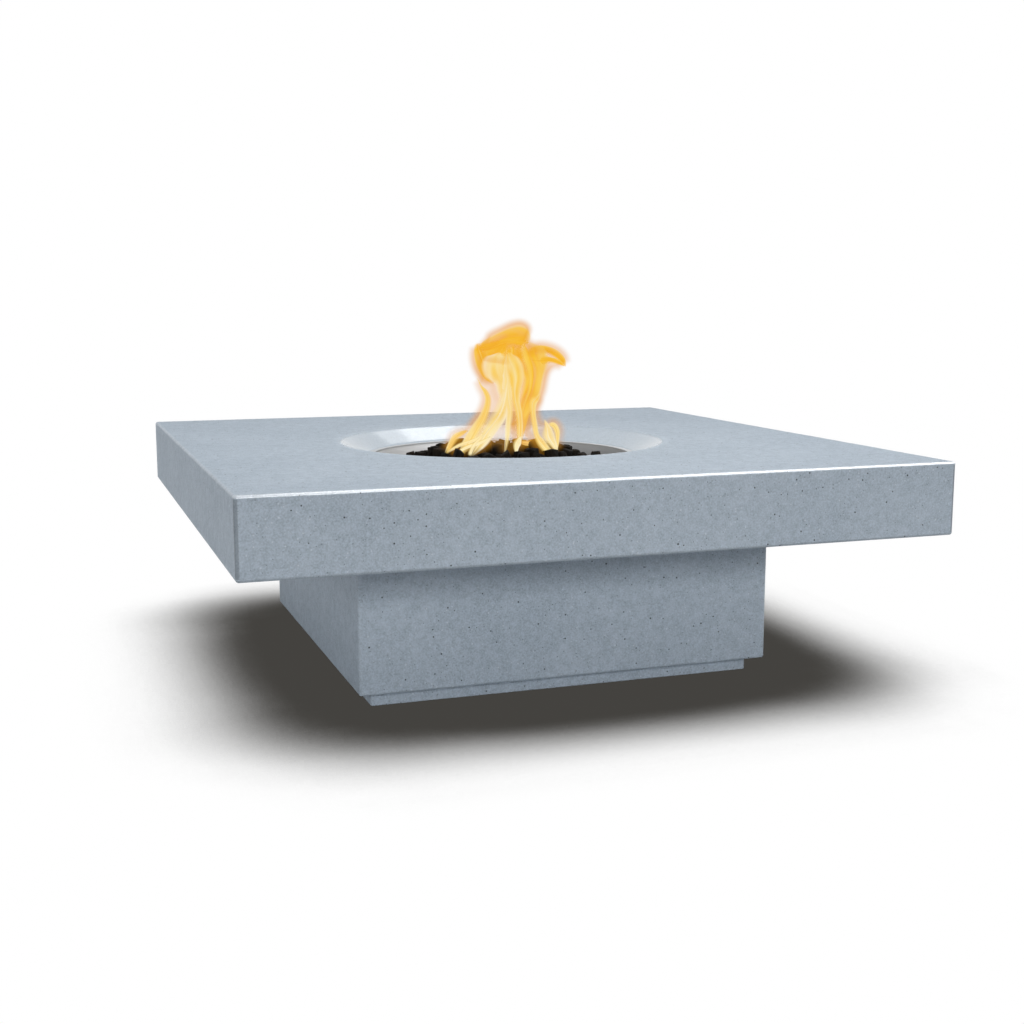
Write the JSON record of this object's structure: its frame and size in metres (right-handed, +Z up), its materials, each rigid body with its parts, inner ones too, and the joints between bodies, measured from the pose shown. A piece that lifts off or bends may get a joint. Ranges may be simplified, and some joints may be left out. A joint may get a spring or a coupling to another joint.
{
  "type": "fire pit table",
  "caption": "Low square concrete fire pit table with a round gas fire bowl of lava rock, a set-back pedestal, and a key valve, igniter, access door and vent on the hidden sides.",
  "frame": {"origin": "on the ground, under the middle of the square top", "axes": "+Z up; +Y towards the rear, where the controls and the door are; +X towards the vent's side"},
  "size_m": [1.2192, 1.2192, 0.408],
  "materials": {
    "concrete": "matte",
    "stainless": "satin",
    "zinc": "satin",
    "brass": "satin",
    "chrome": "polished",
    "black_plastic": "satin",
    "wire": "satin",
    "rubber": "matte",
    "fibre": "matte",
    "porcelain": "gloss",
    "magnet": "matte",
    "lava": "matte"
  },
  "bodies": {
    "table": {"table_top": "concrete", "deck_inserts": "brass", "pedestal": "concrete", "wall_inserts": "brass", "plinth": "concrete", "plinth_inserts": "brass", "plinth_bolts": "zinc", "plinth_washers": "zinc", "support_cleats": "zinc", "cleat_deck_bolts": "zinc", "cleat_wall_bolts": "zinc", "bearing_pads": "rubber", "burner_pan": "stainless", "pan_gasket": "fibre", "burner_ring": "stainless", "burner_locknut": "brass", "gas_elbow": "brass", "elbow_nut": "brass", "gas_hose": "stainless", "outlet_nut": "brass", "valve_body": "brass", "valve_sleeve": "zinc", "sleeve_locknut": "zinc", "valve_escutcheon": "chrome", "control_panel": "stainless", "panel_screws": "zinc", "igniter_body": "black_plastic", "igniter_nut": "zinc", "ignition_wire": "wire", "wire_clips": "zinc", "electrode_insulator": "porcelain", "electrode_nut": "zinc", "electrode_tip": "zinc", "door_frame": "stainless", "door_frame_screws": "zinc", "hinge_pins": "zinc", "catch_magnet": "magnet", "vent_grille": "stainless", "vent_screws": "zinc", "lava_bed": "lava", "lava_rocks": "lava"},
    "door": {"door_panel": "stainless", "door_pull": "stainless"},
    "stem": {"valve_stem": "brass"},
    "key": {"valve_key": "chrome"},
    "button": {"igniter_button": "black_plastic"}
  },
  "joints": [
    {"name": "door_hinge", "type": "hinge", "parent": "table", "child": "door", "pos_m": [0.229, 0.376, 0.1524], "axis": [0, 0, -1], "range_deg": [0, 100]},
    {"name": "valve_turn", "type": "hinge", "parent": "table", "child": "stem", "pos_m": [-0.228, 0.2748, 0.138], "axis": [0, 1, 0], "range_deg": [0, 90]},
    {"name": "key_pull", "type": "slide", "parent": "stem", "child": "key", "axis": [0, 1, 0], "range_m": [0, 0.12]},
    {"name": "igniter_press", "type": "slide", "parent": "table", "child": "button", "axis": [0, -1, 0], "range_m": [0, 0.004], "stiffness_N_per_m": 2000}
  ]
}
